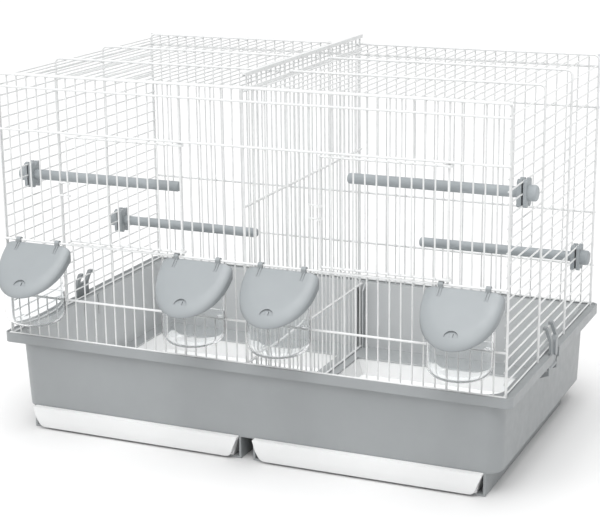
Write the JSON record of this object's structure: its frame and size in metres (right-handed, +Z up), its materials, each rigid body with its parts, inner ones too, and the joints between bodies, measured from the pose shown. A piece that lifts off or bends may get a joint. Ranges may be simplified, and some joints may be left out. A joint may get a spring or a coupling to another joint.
{
  "type": "bird breeding cage",
  "caption": "Wire-top bird breeding cage on a moulded tub, with a lift-out divider, wire doors, hooded feeders, perches and pull-out litter drawers.",
  "frame": {"origin": "on the ground under the middle of the whole cage, hoods and side clips included", "axes": "+X to the right seen from the doors, +Y to the back, +Z up"},
  "size_m": [0.5872, 0.3956, 0.4089],
  "materials": {
    "coated_wire": "gloss white coating",
    "bright_wire": "bright",
    "tub_plastic": "satin",
    "hood_plastic": "smooth",
    "perch_plastic": "fine grain",
    "white_plastic": "smooth",
    "clear_plastic": "clear"
  },
  "bodies": {
    "cage": {"tub": "tub_plastic", "front_panel": "coated_wire", "back_panel": "coated_wire", "left_side_grille": "coated_wire", "right_side_grille": "coated_wire", "roof_grille": "coated_wire", "perch_rod_1": "perch_plastic", "perch_rod_2": "perch_plastic", "perch_rod_3": "perch_plastic", "perch_rod_4": "perch_plastic", "perch_flange_1": "perch_plastic", "perch_flange_2": "perch_plastic", "perch_flange_3": "perch_plastic", "perch_flange_4": "perch_plastic", "perch_knob_1": "perch_plastic", "perch_knob_2": "perch_plastic", "perch_knob_3": "perch_plastic", "perch_knob_4": "perch_plastic", "clip_pin_left": "bright_wire", "clip_pin_right": "bright_wire"},
    "drawer_left": {"drawer_left": "white_plastic"},
    "drawer_right": {"drawer_right": "white_plastic"},
    "divider": {"divider_grille": "coated_wire", "divider_top_strip": "coated_wire"},
    "door_left": {"door_left": "coated_wire"},
    "door_right": {"door_right": "coated_wire"},
    "door_latch_left": {"door_latch_left": "coated_wire"},
    "door_latch_right": {"door_latch_right": "coated_wire"},
    "side_clip_left": {"side_clip_left": "hood_plastic"},
    "side_clip_right": {"side_clip_right": "hood_plastic"},
    "feeder_hood_1": {"feeder_hood_1": "hood_plastic"},
    "feeder_cup_1": {"feeder_cup_1": "clear_plastic"},
    "feeder_hood_2": {"feeder_hood_2": "hood_plastic"},
    "feeder_cup_2": {"feeder_cup_2": "clear_plastic"},
    "feeder_hood_3": {"feeder_hood_3": "hood_plastic"},
    "feeder_cup_3": {"feeder_cup_3": "clear_plastic"},
    "feeder_hood_4": {"feeder_hood_4": "hood_plastic"},
    "feeder_cup_4": {"feeder_cup_4": "clear_plastic"}
  },
  "joints": [
    {"name": "drawer_left_slide", "type": "slide", "parent": "cage", "child": "drawer_left", "axis": [0, -1, 0], "range_m": [0, 0.28]},
    {"name": "drawer_right_slide", "type": "slide", "parent": "cage", "child": "drawer_right", "axis": [0, -1, 0], "range_m": [0, 0.28]},
    {"name": "divider_lift", "type": "slide", "parent": "cage", "child": "divider", "axis": [0, 0, 1], "range_m": [0, 0.38]},
    {"name": "door_left_hinge", "type": "hinge", "parent": "cage", "child": "door_left", "pos_m": [-0.066, -0.14725, 0.2778], "axis": [0, 0, 1], "range_deg": [0, 110]},
    {"name": "door_latch_left_turn", "type": "hinge", "parent": "door_left", "child": "door_latch_left", "pos_m": [-0.198, -0.1519, 0.278], "axis": [0, 0, 1], "range_deg": [0, 90]},
    {"name": "door_right_hinge", "type": "hinge", "parent": "cage", "child": "door_right", "pos_m": [0.222, -0.14725, 0.2778], "axis": [0, 0, 1], "range_deg": [0, 110]},
    {"name": "door_latch_right_turn", "type": "hinge", "parent": "door_right", "child": "door_latch_right", "pos_m": [0.09, -0.1519, 0.278], "axis": [0, 0, 1], "range_deg": [0, 90]},
    {"name": "feeder_hood_1_lift", "type": "hinge", "parent": "cage", "child": "feeder_hood_1", "pos_m": [-0.24, -0.14905, 0.2174], "axis": [1, 0, 0], "range_deg": [-85, 0]},
    {"name": "feeder_cup_1_unhook", "type": "slide", "parent": "cage", "child": "feeder_cup_1", "axis": [0, 0, 1], "range_m": [0, 0.004]},
    {"name": "feeder_hood_2_lift", "type": "hinge", "parent": "cage", "child": "feeder_hood_2", "pos_m": [-0.048, -0.14905, 0.2174], "axis": [1, 0, 0], "range_deg": [-85, 0]},
    {"name": "feeder_cup_2_unhook", "type": "slide", "parent": "cage", "child": "feeder_cup_2", "axis": [0, 0, 1], "range_m": [0, 0.004]},
    {"name": "feeder_hood_3_lift", "type": "hinge", "parent": "cage", "child": "feeder_hood_3", "pos_m": [0.048, -0.14905, 0.2174], "axis": [1, 0, 0], "range_deg": [-85, 0]},
    {"name": "feeder_cup_3_unhook", "type": "slide", "parent": "cage", "child": "feeder_cup_3", "axis": [0, 0, 1], "range_m": [0, 0.004]},
    {"name": "feeder_hood_4_lift", "type": "hinge", "parent": "cage", "child": "feeder_hood_4", "pos_m": [0.24, -0.14905, 0.2174], "axis": [1, 0, 0], "range_deg": [-85, 0]},
    {"name": "feeder_cup_4_unhook", "type": "slide", "parent": "cage", "child": "feeder_cup_4", "axis": [0, 0, 1], "range_m": [0, 0.004]},
    {"name": "side_clip_left_swing", "type": "hinge", "parent": "cage", "child": "side_clip_left", "pos_m": [-0.2845, 0.00995, 0.092], "axis": [0, -1, 0], "range_deg": [0, 50]},
    {"name": "side_clip_right_swing", "type": "hinge", "parent": "cage", "child": "side_clip_right", "pos_m": [0.2845, 0.00995, 0.092], "axis": [0, 1, 0], "range_deg": [0, 50]}
  ]
}
